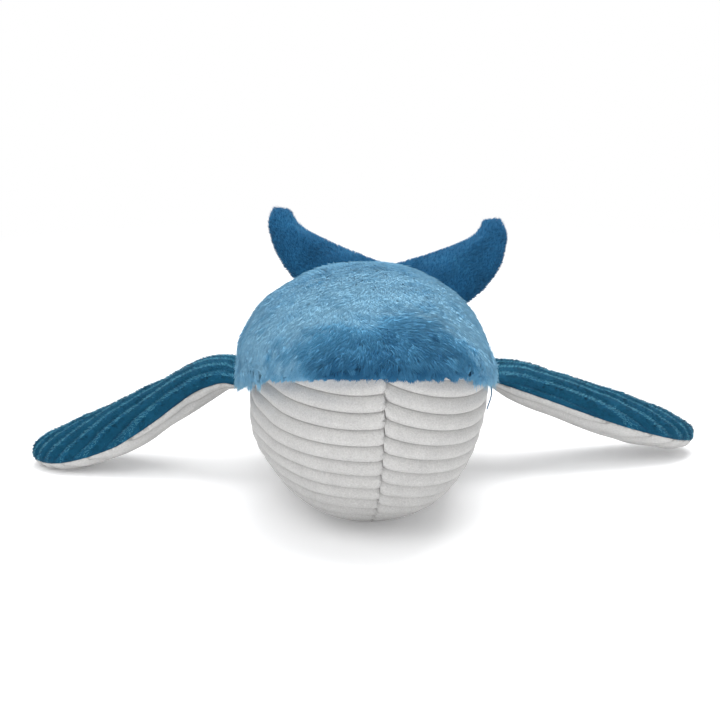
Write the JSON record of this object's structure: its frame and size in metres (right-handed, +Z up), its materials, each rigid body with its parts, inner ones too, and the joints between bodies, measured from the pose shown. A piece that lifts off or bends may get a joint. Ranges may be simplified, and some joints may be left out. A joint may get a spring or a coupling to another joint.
{
  "type": "stuffed toy whale",
  "caption": "Stuffed toy whale lying on its belly: long-pile blue back, ribbed white belly, broad pillow fins at the sides and a raised tail fluke.",
  "frame": {"origin": "on the floor, under the middle of the bounding box", "axes": "+Z up, -Y towards the nose, +X towards the right-hand fin of the toy as seen from the front; the body lies along Y and the fins spread along X"},
  "size_m": [0.4746, 0.458, 0.1611],
  "materials": {
    "plush_fur": "mid blue plush with a long soft pile",
    "white_ribbed_cord": "off-white plush cord with wide raised ribs",
    "teal_ribbed_cord": "teal plush cord with wide raised ribs",
    "blue_short_plush": "dark blue plush with a short dense pile",
    "stuffing_fibre": "white polyester fibre filling",
    "eye_button": "polished black plastic button",
    "washer_plastic": "plain white plastic"
  },
  "bodies": {
    "torso": {"back_fur_left": "plush_fur", "back_fur_right": "plush_fur", "belly_ribbed_left": "white_ribbed_cord", "belly_ribbed_right": "white_ribbed_cord", "torso_stuffing": "stuffing_fibre", "eye_left": "eye_button", "eye_right": "eye_button", "eye_washer_left": "washer_plastic", "eye_washer_right": "washer_plastic"},
    "tail": {"tail_fur_left": "plush_fur", "tail_fur_right": "plush_fur", "tail_belly_left": "white_ribbed_cord", "tail_belly_right": "white_ribbed_cord", "tail_stuffing": "stuffing_fibre"},
    "flukes": {"fluke_left_top": "blue_short_plush", "fluke_left_underside": "blue_short_plush", "fluke_left_filling": "stuffing_fibre", "fluke_right_top": "blue_short_plush", "fluke_right_underside": "blue_short_plush", "fluke_right_filling": "stuffing_fibre"},
    "fin_left": {"fin_left_top": "teal_ribbed_cord", "fin_left_underside": "white_ribbed_cord", "fin_left_filling": "stuffing_fibre"},
    "fin_right": {"fin_right_top": "teal_ribbed_cord", "fin_right_underside": "white_ribbed_cord", "fin_right_filling": "stuffing_fibre"}
  },
  "joints": [
    {"name": "tail_bend", "type": "hinge", "parent": "torso", "child": "tail", "pos_m": [0.01074, 0.06302, 0.063], "axis": [1, 0, 0], "range_deg": [-10, 20]},
    {"name": "fluke_bend", "type": "hinge", "parent": "tail", "child": "flukes", "pos_m": [0.03265, 0.17172, 0.06], "axis": [1, 0, 0], "range_deg": [-40, 15]},
    {"name": "fin_left_lift", "type": "hinge", "parent": "torso", "child": "fin_left", "pos_m": [-0.08542, -0.03498, 0.0681], "axis": [0.2213, 0.9752, 0], "range_deg": [-8, 55]},
    {"name": "fin_right_lift", "type": "hinge", "parent": "torso", "child": "fin_right", "pos_m": [0.08244, -0.03498, 0.0681], "axis": [0.0627, -0.998, 0], "range_deg": [-8, 55]}
  ]
}
